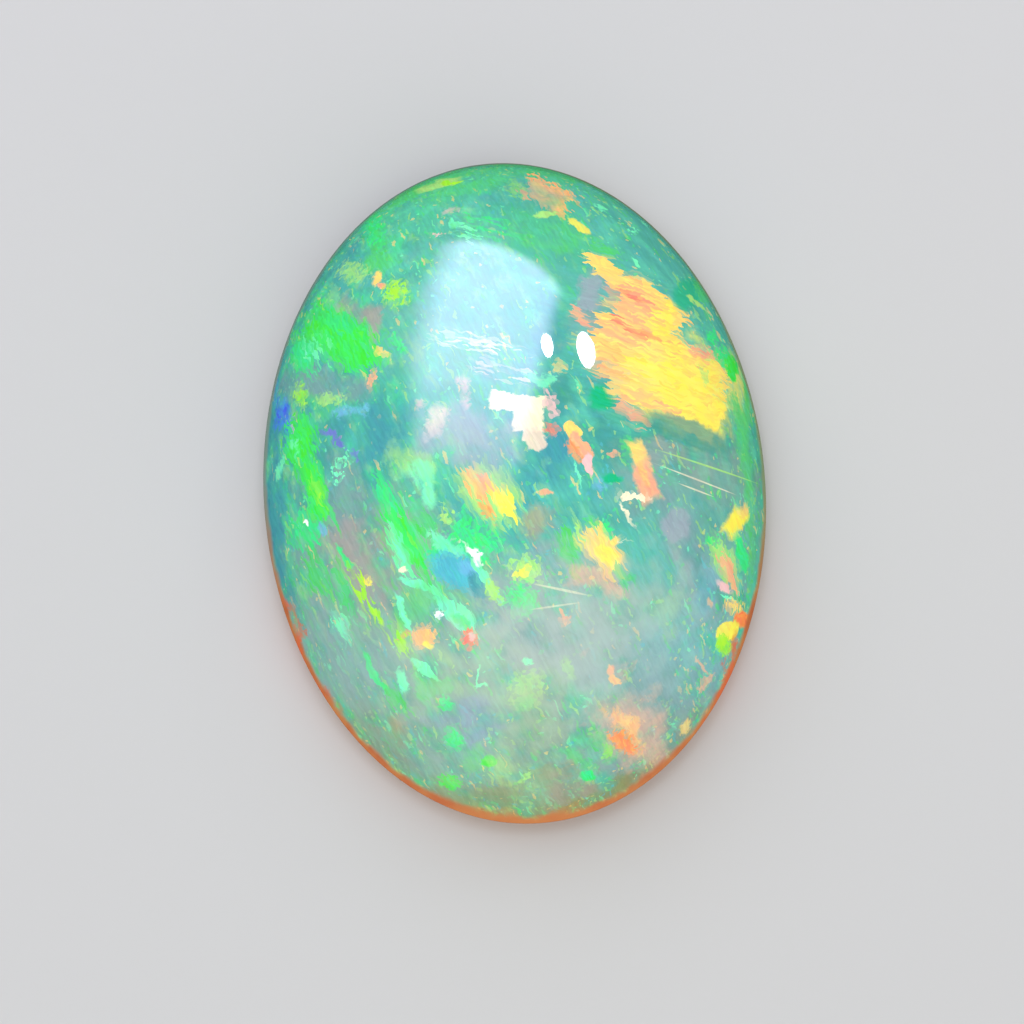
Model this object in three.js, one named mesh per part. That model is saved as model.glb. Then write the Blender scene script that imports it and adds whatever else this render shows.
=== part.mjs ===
// An oval opal cabochon: one polished stone with a high dome, a thin girdle and a flat back.
// Millimetres, +Z up through the dome, +Y along the stone's length, origin at the middle of the flat back.
import * as THREE from "three";

// Overall size of the stone
const LENGTH = 13.0;
const WIDTH = 9.6;
const HEIGHT = 4.6;

// The back: a flat, ground face inside a bevel that keeps the lower edge from chipping
const BACK_BEVEL_WIDTH = 0.5;
const BACK_BEVEL_HEIGHT = 0.4;

// The girdle: the thin side band, which leans in a little towards the dome
const GIRDLE_HEIGHT = 0.55;
const GIRDLE_LEAN = 0.17;

// The dome meets the girdle at this angle above the horizontal
const DOME_EDGE_ANGLE = THREE.MathUtils.degToRad(73);

// Polishing rounds every edge of the outline by about this much
const EDGE_ROUNDING = 0.09;

// Facets round the oval, up the dome and round each edge
const OVAL_SEGMENTS = 72;
const DOME_STEPS = 16;
const EDGE_STEPS = 3;

/**
 * The stretched circle that a dome follows, as half-widths from its own centre.
 * Its top is `rise` above the dome's foot, and it leaves the foot at `edgeAngle`.
 */
function domeArc(footRadius, rise, edgeAngle) {
  const footShare = 1 / ((Math.tan(edgeAngle) * footRadius) / rise - 1);
  const halfHeight = rise / (1 - footShare);
  const halfWidth = footRadius / Math.sqrt(1 - footShare ** 2);
  return { halfWidth, halfHeight, footAngle: Math.asin(footShare) };
}

/** Draws the corner `at` as a short curve between two points that lie `EDGE_ROUNDING` away from it. */
function roundedCorner(path, before, at, after) {
  const towards = (end) =>
    at.clone().add(end.clone().sub(at).setLength(EDGE_ROUNDING));
  const start = towards(before);
  const end = towards(after);
  path.lineTo(start.x, start.y);
  path.quadraticCurveTo(at.x, at.y, end.x, end.y);
}

/** The outline of half the stone across its width, from the middle of the back round to the top of the dome. */
function stoneOutline() {
  const girdleRadius = WIDTH / 2;
  const girdleTop = BACK_BEVEL_HEIGHT + GIRDLE_HEIGHT;
  const backCentre = new THREE.Vector2(0, 0);
  const backEdge = new THREE.Vector2(girdleRadius - BACK_BEVEL_WIDTH, 0);
  const girdleFoot = new THREE.Vector2(girdleRadius, BACK_BEVEL_HEIGHT);
  const domeFoot = new THREE.Vector2(girdleRadius - GIRDLE_LEAN, girdleTop);
  const dome = domeArc(domeFoot.x, HEIGHT - girdleTop, DOME_EDGE_ANGLE);
  const domeCentreHeight = HEIGHT - dome.halfHeight;

  const outline = new THREE.Path();
  outline.moveTo(backCentre.x, backCentre.y);
  roundedCorner(outline, backCentre, backEdge, girdleFoot);
  roundedCorner(outline, backEdge, girdleFoot, domeFoot);
  outline.lineTo(domeFoot.x, domeFoot.y);
  outline.absellipse(
    0,
    domeCentreHeight,
    dome.halfWidth,
    dome.halfHeight,
    dome.footAngle,
    Math.PI / 2,
    false,
  );
  return outline;
}

/** The outline's points, with as many steps on each curve as its length needs. */
function outlinePoints(outline) {
  const points = outline.curves.flatMap((curve) => {
    if (curve.isEllipseCurve) return curve.getPoints(DOME_STEPS);
    if (curve.isQuadraticBezierCurve) return curve.getPoints(EDGE_STEPS);
    return curve.getPoints(1);
  });
  return points.filter(
    (point, i) => i === 0 || point.distanceTo(points[i - 1]) > 1e-6,
  );
}

/** The whole stone: the outline turned about the upright axis, then stretched into an oval of the exact size. */
function stoneGeometry() {
  const points = outlinePoints(stoneOutline());
  points.at(-1).x = 0;
  const geometry = new THREE.LatheGeometry(points, OVAL_SEGMENTS);
  geometry.rotateX(Math.PI / 2);
  geometry.computeBoundingBox();
  const turned = geometry.boundingBox.getSize(new THREE.Vector3());
  geometry.scale(WIDTH / turned.x, LENGTH / turned.y, HEIGHT / turned.z);
  return geometry;
}

const preciousOpal = new THREE.MeshStandardMaterial({
  name: "precious_opal",
  color: 0x74b89c,
  roughness: 0.06,
  metalness: 0,
});

const cabochon = new THREE.Mesh(stoneGeometry(), preciousOpal);
cabochon.name = "opal_cabochon";

const stone = new THREE.Group();
stone.add(cabochon);

export default stone;
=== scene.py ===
"""Dresses the oval opal cabochon and stands it in a plain studio.

The stone is modelled smooth, at the frame's exact size. Its play-of-colour is a solid pattern of procedural
nodes: a milky body in soft zones, flakes of fire laid out one by one, and scattered streaks and splinters.
"""

import logging
import math
from dataclasses import dataclass, field
from enum import Enum

import bmesh
import bpy
from mathutils import Matrix, Vector


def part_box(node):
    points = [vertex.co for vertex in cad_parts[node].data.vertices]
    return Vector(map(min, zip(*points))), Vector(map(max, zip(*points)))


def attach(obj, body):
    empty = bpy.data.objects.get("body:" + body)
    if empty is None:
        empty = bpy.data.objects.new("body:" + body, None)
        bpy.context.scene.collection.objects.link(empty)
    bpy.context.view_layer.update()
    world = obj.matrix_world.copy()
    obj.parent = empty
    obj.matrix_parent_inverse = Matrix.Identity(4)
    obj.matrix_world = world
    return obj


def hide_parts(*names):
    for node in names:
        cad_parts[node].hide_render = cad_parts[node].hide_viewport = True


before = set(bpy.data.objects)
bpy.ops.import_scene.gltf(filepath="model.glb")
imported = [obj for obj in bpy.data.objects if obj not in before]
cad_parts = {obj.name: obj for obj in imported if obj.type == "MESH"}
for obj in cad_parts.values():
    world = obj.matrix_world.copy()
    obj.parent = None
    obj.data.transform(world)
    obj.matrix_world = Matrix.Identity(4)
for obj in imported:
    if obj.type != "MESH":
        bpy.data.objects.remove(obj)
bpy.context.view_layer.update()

LOG = logging.getLogger("opal")

MM = 0.001
NODE = "opal_cabochon"
SLOT = "precious_opal"

Colour = tuple[float, float, float, float]


def srgb(code: str) -> Colour:
    """Turns an sRGB hex colour into the linear values that a shader takes.

    Args:
        code: Six hex digits after a hash, such as "#5ab6a6".

    Returns:
        Linear red, green and blue, with an alpha of one.
    """

    def linear(share: float) -> float:
        return share / 12.92 if share <= 0.04045 else ((share + 0.055) / 1.055) ** 2.4

    channels = (int(code[start : start + 2], 16) / 255 for start in (1, 3, 5))
    return (*(linear(channel) for channel in channels), 1.0)


def add_node(
    tree: bpy.types.NodeTree,
    kind: str,
    inputs: dict[int | str, object] | None = None,
    **settings: object,
) -> bpy.types.Node:
    """Adds a node with its settings, its input values and its links.

    Args:
        tree: The node tree that gets the node.
        kind: The node's Blender type name.
        inputs: Input name or number to a value, or to the socket that feeds it.
        settings: The node's own properties.

    Returns:
        The new node.
    """
    node = tree.nodes.new(kind)
    for name, value in settings.items():
        setattr(node, name, value)
    for key, value in (inputs or {}).items():
        if isinstance(value, bpy.types.NodeSocket):
            tree.links.new(value, node.inputs[key])
        else:
            node.inputs[key].default_value = value
    return node


def maths(tree: bpy.types.NodeTree, operation: str, *values: object) -> bpy.types.NodeSocket:
    """Works out one sum from two or three numbers or sockets."""
    return add_node(tree, "ShaderNodeMath", dict(enumerate(values)), operation=operation).outputs[0]


def vector_maths(tree: bpy.types.NodeTree, operation: str, *values: object) -> bpy.types.NodeSocket:
    """Works out one sum from two or three vectors, whose result is a number for some operations."""
    node = add_node(tree, "ShaderNodeVectorMath", dict(enumerate(values)), operation=operation)
    return node.outputs["Value" if operation in ("DOT_PRODUCT", "DISTANCE") else "Vector"]


def ranged(
    tree: bpy.types.NodeTree,
    value: bpy.types.NodeSocket,
    ends: tuple[object, object],
    becomes: tuple[object, object] = (0.0, 1.0),
    **settings: object,
) -> bpy.types.NodeSocket:
    """Turns one range of a value into another.

    Args:
        tree: The node tree.
        value: The value.
        ends: The two ends of its range.
        becomes: What the two ends become.
        settings: The node's own properties.

    Returns:
        The new value.
    """
    inputs = {
        "Value": value,
        "From Min": ends[0],
        "From Max": ends[1],
        "To Min": becomes[0],
        "To Max": becomes[1],
    }
    return add_node(tree, "ShaderNodeMapRange", inputs, **settings).outputs[0]


def blended(
    tree: bpy.types.NodeTree, share: bpy.types.NodeSocket, under: object, over: object
) -> bpy.types.NodeSocket:
    """Mixes two colours: all `under` where the share is 0, and all `over` where it is 1."""
    inputs = {0: share, 6: under, 7: over}
    return add_node(tree, "ShaderNodeMix", inputs, data_type="RGBA").outputs[2]


def between(
    tree: bpy.types.NodeTree, share: bpy.types.NodeSocket, low: object, high: object
) -> bpy.types.NodeSocket:
    """Finds the number that lies between two others at a share of the way."""
    return add_node(tree, "ShaderNodeMix", {0: share, 2: low, 3: high}).outputs[0]


def clouds(
    tree: bpy.types.NodeTree, place: bpy.types.NodeSocket, across: float, detail: float
) -> bpy.types.Node:
    """Adds noise whose bumps are about `across` apart."""
    inputs = {"Vector": place, "Scale": 1 / across, "Detail": detail}
    return add_node(tree, "ShaderNodeTexNoise", inputs)


def cell_place(
    tree: bpy.types.NodeTree,
    place: bpy.types.NodeSocket,
    degrees: float,
    size: tuple[float, ...],
    start: tuple[float, ...] = (0.0, 0.0, 0.0),
) -> bpy.types.NodeSocket:
    """Finds a place in a turned pattern whose cells have a given size.

    Args:
        tree: The node tree.
        place: The place on the stone.
        degrees: The pattern's direction, counter-clockwise from the picture's right.
        size: A cell's length, width and depth, in millimetres.
        start: Where the pattern starts.

    Returns:
        The place, in cells.
    """
    inputs = {
        "Vector": place,
        "Location": start,
        "Rotation": (0, 0, math.radians(degrees)),
        "Scale": size,
    }
    return add_node(tree, "ShaderNodeMapping", inputs, vector_type="TEXTURE").outputs[0]


@dataclass(frozen=True)
class StoneShape:
    """The stone's sizes in millimetres: its overall size from the frame, its profile as in the source."""

    width: float
    length: float
    height: float
    back_bevel_width: float = 0.5
    back_bevel_height: float = 0.4
    girdle_height: float = 0.55
    girdle_lean: float = 0.17
    dome_edge_angle: float = math.radians(73)
    edge_rounding: float = 0.09

    @classmethod
    def from_frame(cls) -> "StoneShape":
        """Reads the overall size from the CAD node's box."""
        low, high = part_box(NODE)
        return cls(*((high - low) / MM))

    @property
    def stretch(self) -> float:
        """How much longer the oval is than it is wide."""
        return self.length / self.width

    @property
    def girdle_top(self) -> float:
        """The height at which the girdle ends and the dome starts."""
        return self.back_bevel_height + self.girdle_height

    @property
    def dome_foot(self) -> float:
        """Half the stone's width where the dome starts."""
        return self.width / 2 - self.girdle_lean

    @property
    def dome_half_axes(self) -> Vector:
        """The half-axes of the whole ellipsoid whose top is the dome.

        Returns:
            Half the width, half the length and half the height, in millimetres.
        """
        rise = self.height - self.girdle_top
        foot_share = 1 / (math.tan(self.dome_edge_angle) * self.dome_foot / rise - 1)
        half_height = rise / (1 - foot_share)
        half_width = self.dome_foot / math.sqrt(1 - foot_share**2)
        return Vector((half_width, half_width * self.stretch, half_height))

    @property
    def dome_centre(self) -> Vector:
        """The middle of the dome's ellipsoid, in millimetres."""
        return Vector((0, 0, self.height - self.dome_half_axes.z))


@dataclass(frozen=True)
class PhotoCamera:
    """The camera of the photograph, and the way from one of its pixels to a place on the stone.

    The stone's length leans 4.4 degrees to the left in the picture, and the far end is the upper one.
    """

    stone: StoneShape
    azimuth: float = math.radians(-4.4)
    elevation: float = math.radians(77)
    distance: float = 88.0
    picture_width: float = 19.32
    looks_at: tuple[float, float, float] = (-0.104, -0.73, 1.6)
    pixels: int = 1024

    @property
    def back(self) -> Vector:
        """The direction from the stone to the camera."""
        level = math.cos(self.elevation)
        return Vector(
            (
                math.sin(self.azimuth) * level,
                -math.cos(self.azimuth) * level,
                math.sin(self.elevation),
            )
        )

    @property
    def right(self) -> Vector:
        """The direction in space that runs to the picture's right."""
        return Vector((math.cos(self.azimuth), math.sin(self.azimuth), 0))

    @property
    def up(self) -> Vector:
        """The direction in space that runs up the picture."""
        return self.back.cross(self.right)

    @property
    def turned(self) -> Matrix:
        """The rotation from the stone's axes to the picture's right, its up and the way to the camera."""
        return Matrix((self.right, self.up, self.back))

    @property
    def eye(self) -> Vector:
        """The camera's place, in millimetres."""
        return Vector(self.looks_at) + self.back * self.distance

    def hit(self, pixel: tuple[float, float]) -> Vector:
        """Finds the place on the dome that a pixel of the photograph shows.

        Args:
            pixel: Across from the left and down from the top, in the 1024-pixel frame.

        Returns:
            The place in the stone's axes, in millimetres.
        """
        half = self.pixels / 2
        across = (pixel[0] - half) / half * self.picture_width / 2
        upwards = (half - pixel[1]) / half * self.picture_width / 2
        ray = self.right * across + self.up * upwards - self.back * self.distance
        axes, start = self.stone.dome_half_axes, self.eye - self.stone.dome_centre
        start = Vector(a / b for a, b in zip(start, axes))
        step = Vector(a / b for a, b in zip(ray, axes))
        middle = -start.dot(step) / step.dot(step)
        reach = middle**2 - (start.dot(start) - 1) / step.dot(step)
        share = middle - math.sqrt(max(reach, 0))
        return self.eye + ray * share

    def on_dome(self, pixel: tuple[float, float]) -> Vector:
        """Finds the place that a pixel shows, in the picture's own axes."""
        return self.turned @ self.hit(pixel)

    def mirrored(self, pixel: tuple[float, float]) -> Vector:
        """Finds the direction that the polished dome mirrors at a pixel.

        Args:
            pixel: A pixel of the photograph that shows the dome.

        Returns:
            The direction from the stone, as a unit vector in its axes.
        """
        place = self.hit(pixel)
        outwards = Vector(
            a / b**2 for a, b in zip(place - self.stone.dome_centre, self.stone.dome_half_axes)
        ).normalized()
        towards_eye = (self.eye - place).normalized()
        return 2 * outwards.dot(towards_eye) * outwards - towards_eye

    def place(self) -> bpy.types.Object:
        """Adds the camera to the scene and makes it the one that renders."""
        data = bpy.data.cameras.new("photo_camera")
        data.lens = data.sensor_width * self.distance / self.picture_width
        data.clip_start, data.clip_end = self.distance * MM / 20, self.distance * MM * 40
        camera = bpy.data.objects.new("photo_camera", data)
        camera.location = self.eye * MM
        camera.rotation_euler = self.turned.transposed().to_euler()
        bpy.context.scene.collection.objects.link(camera)
        bpy.context.scene.camera = camera
        return camera


@dataclass
class Cabochon:
    """The polished stone: a high dome on a thin girdle, with a bevelled flat back."""

    shape: StoneShape
    name: str = "polished_opal"
    around: int = 192
    up_the_sphere: int = 112
    edge_steps: int = 5
    back_rings: int = 3

    def build(self) -> bpy.types.Object:
        """Models the stone and gives it the exact size of the frame.

        Returns:
            The finished piece, with its place in its mesh.
        """
        stone = self._add_ellipsoid()
        bpy.ops.object.mode_set(mode="EDIT")
        self._cut_dome()
        self._draw_down(self.shape.girdle_height, self.shape.width / 2)
        self._draw_down(self.shape.back_bevel_height, self._back_edge)
        self._close_back()
        self._round_edges()
        bpy.ops.mesh.select_all(action="SELECT")
        bpy.ops.mesh.normals_make_consistent(inside=False)
        bpy.ops.object.mode_set(mode="OBJECT")
        self._fit_to_frame(stone)
        self._smooth()
        return stone

    @property
    def _back_edge(self) -> float:
        """Half the flat back's width."""
        return self.shape.width / 2 - self.shape.back_bevel_width

    def _add_ellipsoid(self) -> bpy.types.Object:
        """Adds the whole ellipsoid that the dome is the top of."""
        bpy.ops.object.select_all(action="DESELECT")
        bpy.ops.mesh.primitive_uv_sphere_add(
            segments=self.around,
            ring_count=self.up_the_sphere,
            radius=1,
            location=self.shape.dome_centre * MM,
            scale=self.shape.dome_half_axes * MM,
        )
        stone = bpy.context.object
        stone.name = stone.data.name = self.name
        bpy.ops.object.transform_apply(location=True, rotation=True, scale=True)
        return stone

    def _cut_dome(self) -> None:
        """Cuts the ellipsoid off at the dome's foot, and leaves the cut edge selected."""
        bpy.ops.mesh.select_all(action="SELECT")
        bpy.ops.mesh.bisect(
            plane_co=(0, 0, self.shape.girdle_top * MM),
            plane_no=(0, 0, 1),
            clear_inner=True,
            threshold=1e-7,
        )

    def _draw_down(self, drop: float, half_width: float) -> None:
        """Draws the selected open edge down and out, or in, to a new half-width.

        Args:
            drop: How far down the new edge lies, in millimetres.
            half_width: Half the width that it gets, in millimetres.
        """
        mesh = bmesh.from_edit_mesh(bpy.context.object.data)
        was = max(vertex.co.x for vertex in mesh.verts if vertex.select)
        factor = half_width * MM / was
        bpy.ops.mesh.extrude_region_move(
            TRANSFORM_OT_translate={"value": (0, 0, -drop * MM)}
        )
        bpy.ops.transform.resize(value=(factor, factor, 1), center_override=(0, 0, 0))

    def _close_back(self) -> None:
        """Closes the back with a face, rings inside it and a middle point."""
        bpy.ops.mesh.edge_face_add()
        for _ in range(self.back_rings):
            bpy.ops.mesh.inset(thickness=self._back_edge / (self.back_rings + 1) * MM)
        bpy.ops.mesh.poke()

    def _round_edges(self) -> None:
        """Rounds the girdle's lower edge and the back's edge, as polishing does."""
        bpy.ops.mesh.select_mode(type="EDGE")
        bpy.ops.mesh.select_all(action="DESELECT")
        mesh = bmesh.from_edit_mesh(bpy.context.object.data)
        for edge in mesh.edges:
            edge.select_set(self._is_sharp_edge(edge))
        bmesh.update_edit_mesh(bpy.context.object.data)
        bpy.ops.mesh.bevel(
            offset=self.shape.edge_rounding * MM,
            offset_type="OFFSET",
            segments=self.edge_steps,
            affect="EDGES",
        )

    def _is_sharp_edge(self, edge: bmesh.types.BMEdge) -> bool:
        """Says whether an edge lies level along the foot of the girdle or along the back's outline."""
        near = 1e-3
        heights = [vertex.co.z / MM for vertex in edge.verts]
        reach = min(math.hypot(v.co.x, v.co.y / self.shape.stretch) / MM for v in edge.verts)
        on_girdle = all(abs(z - self.shape.back_bevel_height) < near for z in heights)
        on_back = all(abs(z) < near for z in heights)
        return on_girdle or (on_back and reach > self._back_edge - 0.05)

    def _fit_to_frame(self, stone: bpy.types.Object) -> None:
        """Gives back the little that the rounding took off, so that the size is the frame's."""
        low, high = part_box(NODE)
        wanted = high - low
        factors = Vector(a / b for a, b in zip(wanted, stone.dimensions))
        bpy.ops.transform.resize(value=factors, center_override=(0, 0, 0))
        bpy.ops.object.transform_apply(location=True, rotation=True, scale=True)

    def _smooth(self) -> None:
        """Shades the stone smooth, with the large flat faces kept flat."""
        bpy.ops.object.shade_smooth()
        bpy.ops.object.modifier_add(type="WEIGHTED_NORMAL")
        bpy.ops.object.modifier_apply(modifier=bpy.context.object.modifiers[-1].name)


class Fire(Enum):
    """The colours seen in the stone, as sRGB."""

    WHITE = "#ffffff"
    CREAM = "#fdf0cc"
    SHELL = "#f6dcc4"
    YELLOW = "#fbec58"
    GOLD = "#ffd876"
    APRICOT = "#ffbe78"
    PEACH = "#f8b088"
    ORANGE = "#ff9450"
    CORAL = "#f4806a"
    PINK = "#f4c2c0"
    DUSK = "#a89a96"
    TAN = "#aa9a7c"
    OLIVE = "#8f8a58"
    MOSS = "#8fa078"
    LIME = "#a4ee40"
    PEAR = "#a6e080"
    NEON = "#46e658"
    SPRING = "#44e284"
    LEAF = "#58cf78"
    MINT = "#7cf8bc"
    EMERALD = "#24b880"
    SEA = "#58bd9c"
    TEAL = "#5ab4a4"
    DEEP = "#44988c"
    LAGOON = "#489aa4"
    AZURE = "#56b8c6"
    SKY = "#78b8e4"
    BLUE = "#4a70ec"
    VIOLET = "#7080c8"
    SLATE = "#7f9ea2"
    MIST = "#86a49a"
    LILAC = "#a2a8b4"
    MILK = "#bccdb4"
    HAZE = "#a4c4bc"
    DRAB = "#869c90"
    HONEY = "#c88450"
    RUST = "#bc6a44"
    EMBER = "#dc6c44"


class Grain(Enum):
    """How a mark's outline breaks up.

    Attributes:
        label: What the grain is.
        ragged: How much it usually eats into a mark: 0.3, 0.6 or 1.2. A few steps keep the material small.
        soft: How much of its reach such a mark usually fades over.
        strays: How far it moves parts of a mark, in millimetres.
    """

    CLOUD = ("cloud", 0.6, 0.85, 0.8)
    PLATE = ("plate", 0.3, 0.65, 0.2)
    CRUMB = ("crumb", 0.6, 0.7, 0.25)
    STEEP = ("steep splinters", 0.6, 0.75, 0.35)
    SHALLOW = ("shallow splinters", 0.6, 0.75, 0.35)
    LINE = ("line", 0.3, 0.6, 0.05)

    def __init__(self, label: str, ragged: float, soft: float, strays: float) -> None:
        """Gives the grain's values their names."""
        self.label = label
        self.ragged = ragged
        self.soft = soft
        self.strays = strays


@dataclass(frozen=True)
class Tile:
    """A rectangle of the stone as the photograph's camera sees it, in millimetres from its origin."""

    low: tuple[float, float]
    high: tuple[float, float]

    @property
    def long_way(self) -> int:
        """The axis along which the tile is longer: 0 across, 1 up."""
        return int(self.high[1] - self.low[1] > self.high[0] - self.low[0])

    @property
    def middle(self) -> float:
        """The middle of the longer way."""
        return (self.low[self.long_way] + self.high[self.long_way]) / 2

    def halves(self) -> tuple["Tile", "Tile"]:
        """Cuts the tile across its longer way.

        Returns:
            The lower or left half, and the upper or right half.
        """
        kept = 1 - self.long_way
        ends = {self.long_way: self.middle, kept: self.high[kept]}
        starts = {self.long_way: self.middle, kept: self.low[kept]}
        return Tile(self.low, (ends[0], ends[1])), Tile((starts[0], starts[1]), self.high)


# However ragged and soft a mark is, at least this share of its area counts as kept
LEAST_KEPT = 0.25


@dataclass(frozen=True)
class Mark:
    """One patch of colour in the stone.

    Attributes:
        at: Its middle, as a pixel of the photograph.
        size: Its extent along and across its own direction, in millimetres.
        turn: Its direction, in degrees counter-clockwise from the picture's right.
        fire: Its colour.
        grain: How its outline breaks up.
        ragged: How much the grain eats into it, in the grain's steps, or None for its usual value.
        soft: How much of its reach it fades over, or None for the grain's usual value.
        strength: How much it covers what lies under it.
        square: Whether it is a rectangle instead of an oval.
    """

    at: tuple[float, float]
    size: tuple[float, float]
    turn: float
    fire: Fire
    grain: Grain = Grain.CLOUD
    ragged: float | None = None
    soft: float | None = None
    strength: float = 1.0
    square: bool = False

    @property
    def raggedness(self) -> float:
        """How much the grain eats into the mark."""
        return self.grain.ragged if self.ragged is None else self.ragged

    @property
    def softness(self) -> float:
        """How much of its reach the mark fades over."""
        return self.grain.soft if self.soft is None else self.soft

    @property
    def swell(self) -> float:
        """The factor that makes up for what the grain and the fading take off the mark's size."""
        kept = 1 - min(self.raggedness, 0.8) / 2 - self.softness / 2
        return max(kept, LEAST_KEPT) ** -0.5

    def rows(self, camera: PhotoCamera) -> list[tuple[float, float, float]]:
        """Finds what turns a flat place (x, y, 1) into shares of the mark's reach.

        Args:
            camera: The camera that sees the mark.

        Returns:
            The row for the way along the mark, and the row for the way across it.
        """
        middle = camera.on_dome(self.at)
        turn = math.radians(self.turn)
        ways = ((math.cos(turn), math.sin(turn)), (-math.sin(turn), math.cos(turn)))
        rows = []
        for (x, y), extent in zip(ways, self.size):
            reach = self.swell * extent / 2
            rows.append((x / reach, y / reach, -(x * middle.x + y * middle.y) / reach))
        return rows

    def touches(self, tile: Tile, camera: PhotoCamera) -> bool:
        """Says whether any of the mark can lie in a tile.

        Args:
            tile: The tile.
            camera: The camera that sees the mark.

        Returns:
            True if the mark, with all that its grain strays, reaches the tile.
        """
        middle = camera.on_dome(self.at)
        turn = math.radians(self.turn)
        along, across = (self.swell * extent / 2 for extent in self.size)
        level = abs(math.cos(turn)) * along + abs(math.sin(turn)) * across
        upright = abs(math.sin(turn)) * along + abs(math.cos(turn)) * across
        return all(
            tile.low[way] - reach < middle[way] < tile.high[way] + reach
            for way, reach in enumerate((level + self.grain.strays, upright + self.grain.strays))
        )


# The milky body: broad zones that run into each other
BODY_ZONES = (
    Mark((500, 215), (7.5, 3.2), 0, Fire.SEA),
    Mark((650, 260), (4.2, 4.2), -50, Fire.TEAL),
    Mark((400, 270), (4.0, 3.4), 45, Fire.SEA),
    Mark((440, 300), (1.8, 2.6), 80, Fire.TEAL),
    Mark((330, 470), (2.6, 8.0), 0, Fire.LAGOON, strength=0.8),
    Mark((370, 490), (2.6, 4.0), 0, Fire.DEEP, strength=0.7),
    Mark((480, 380), (4.0, 5.0), 0, Fire.TEAL),
    Mark((570, 460), (3.6, 3.6), 0, Fire.LAGOON, strength=0.8),
    Mark((690, 440), (3.0, 1.6), -20, Fire.DEEP),
    Mark((700, 500), (2.6, 2.2), -20, Fire.MIST),
    Mark((650, 560), (3.0, 3.0), -60, Fire.TEAL),
    Mark((690, 560), (1.2, 3.0), 25, Fire.SLATE),
    Mark((580, 620), (4.6, 2.6), 0, Fire.LILAC, strength=0.85),
    Mark((640, 650), (2.6, 3.0), 40, Fire.MIST),
    Mark((460, 620), (3.8, 3.0), 0, Fire.SLATE, strength=0.8),
    Mark((360, 560), (2.6, 2.6), -60, Fire.DUSK, strength=0.5),
    Mark((350, 640), (2.4, 3.2), -60, Fire.MIST, strength=0.8),
    Mark((430, 720), (3.6, 2.4), -30, Fire.MIST),
    Mark((540, 730), (4.0, 2.8), 0, Fire.MIST),
    Mark((660, 710), (2.4, 2.6), 40, Fire.SLATE, strength=0.8),
    Mark((690, 650), (1.6, 2.2), 40, Fire.AZURE, strength=0.4),
    Mark((500, 812), (7.0, 1.3), 0, Fire.OLIVE, strength=0.9),
    Mark((390, 772), (3.4, 1.0), -42, Fire.OLIVE, strength=0.6),
    Mark((650, 775), (3.4, 1.0), 42, Fire.OLIVE, strength=0.7),
)

# Green and gold flakes round the top
TOP_FLAKES = (
    Mark((500, 176), (4.4, 0.5), 0, Fire.LEAF, strength=0.7),
    Mark((421, 189), (1.6, 0.28), 24, Fire.LEAF, Grain.SHALLOW),
    Mark((440, 184), (0.9, 0.18), 15, Fire.PEAR, Grain.PLATE, soft=0.6),
    Mark((452, 182), (0.44, 0.1), 8, Fire.LIME, Grain.PLATE, soft=0.5),
    Mark((374, 230), (0.85, 0.38), -72, Fire.SPRING, Grain.CRUMB),
    Mark((381, 250), (0.5, 0.45), -60, Fire.LEAF, soft=0.8),
    Mark((354, 250), (0.6, 0.9), 0, Fire.LAGOON, strength=0.5),
    Mark((354, 273), (0.55, 0.36), -20, Fire.PEAR, Grain.CRUMB, strength=0.8),
    Mark((378, 277), (0.16, 0.3), -20, Fire.GOLD, Grain.PLATE),
    Mark((382, 285), (0.14, 0.12), 0, Fire.PEACH, Grain.PLATE),
    Mark((396, 293), (0.42, 0.42), -45, Fire.LIME, Grain.CRUMB),
    Mark((369, 320), (0.95, 0.4), -60, Fire.DUSK, strength=0.8),
    Mark((342, 298), (0.5, 0.5), 0, Fire.PEAR, strength=0.5),
    Mark((487, 228), (0.9, 0.4), -15, Fire.SPRING, Grain.SHALLOW, ragged=1.2),
    Mark((467, 232), (0.5, 0.3), -40, Fire.MINT, Grain.SHALLOW, ragged=1.2),
    Mark((455, 208), (0.3, 0.2), 0, Fire.PINK, strength=0.5),
    Mark((432, 239), (0.2, 0.14), 0, Fire.PINK, soft=0.7),
    Mark((518, 190), (0.3, 0.42), 30, Fire.LIME, Grain.CRUMB, strength=0.8),
    Mark((548, 195), (0.9, 0.55), -28, Fire.APRICOT, Grain.STEEP, ragged=0.3, soft=0.35, square=True),
    Mark((540, 188), (0.4, 0.2), -50, Fire.GOLD, Grain.PLATE, strength=0.8),
    Mark((557, 233), (1.1, 0.7), -35, Fire.LEAF, strength=0.7),
    Mark((522, 206), (1.3, 0.8), -20, Fire.LAGOON, strength=0.5),
    Mark((545, 213), (0.5, 0.1), 15, Fire.PEAR, Grain.PLATE),
    Mark((580, 226), (0.55, 0.12), -35, Fire.YELLOW, Grain.PLATE, soft=0.4, strength=0.8),
    Mark((604, 250), (0.6, 0.22), -30, Fire.LEAF, Grain.SHALLOW),
    Mark((604, 203), (0.26, 0.16), 10, Fire.MINT, soft=0.7, strength=0.8),
    Mark((646, 227), (0.24, 0.1), -30, Fire.MINT, soft=0.7, strength=0.8),
    Mark((636, 261), (0.24, 0.08), -60, Fire.MINT, Grain.PLATE),
)

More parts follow.
